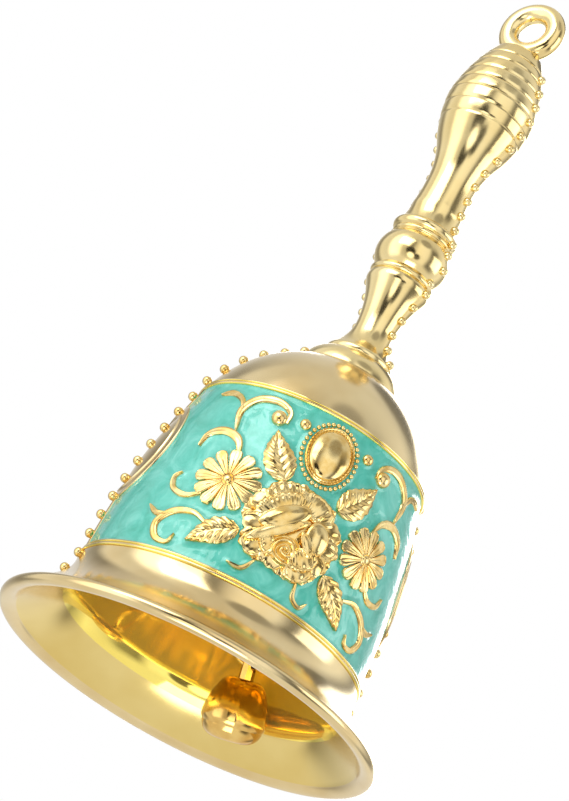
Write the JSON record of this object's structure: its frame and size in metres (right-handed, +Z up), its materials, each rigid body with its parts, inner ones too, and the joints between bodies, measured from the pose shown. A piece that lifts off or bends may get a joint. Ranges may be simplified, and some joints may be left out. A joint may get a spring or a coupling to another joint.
{
  "type": "handbell",
  "caption": "Small table handbell: flared cup with enamelled fields and bead rows, cast handle with a hanging ring, and a clapper that swings on a wire link and ring.",
  "frame": {"origin": "centre of the cup's lip, in the plane the bell stands on", "axes": "+Z up along the bell's axis towards the hanging ring; the enamelled front faces -Y; the cup's two bead rows are at +X and -X"},
  "size_m": [0.06, 0.06, 0.1277],
  "materials": {
    "cup_metal": "satin gold plate",
    "handle_metal": "polished gold plate",
    "enamel": "pearlescent turquoise enamel, glossy",
    "fastener_metal": "polished gold plate",
    "chain_metal": "bright gold-plated wire",
    "clapper_metal": "polished gold plate"
  },
  "bodies": {
    "bell": {"bell_cup": "cup_metal", "enamel_front": "enamel", "enamel_back": "enamel", "handle": "handle_metal", "eye_bolt": "fastener_metal", "bolt_nut": "fastener_metal", "crown_washer": "fastener_metal"},
    "chain_link": {"clapper_link": "chain_metal"},
    "chain_ring": {"clapper_ring": "chain_metal"},
    "clapper": {"clapper": "clapper_metal"}
  },
  "joints": [
    {"name": "eye_hinge", "type": "hinge", "parent": "bell", "child": "chain_link", "pos_m": [0, 0, 0.0429], "axis": [0.7524, -0.6587, 0], "range_deg": [-40, 0]},
    {"name": "link_hinge", "type": "hinge", "parent": "chain_link", "child": "chain_ring", "pos_m": [0.00675, 0.00772, 0.01814], "axis": [0.6085, 0.6951, 0.3827], "range_deg": [-12, 12]},
    {"name": "ring_hinge", "type": "hinge", "parent": "chain_ring", "child": "clapper", "pos_m": [0.00852, 0.00973, 0.01167], "axis": [0.7524, -0.6587, 0], "range_deg": [-25, 3]}
  ]
}
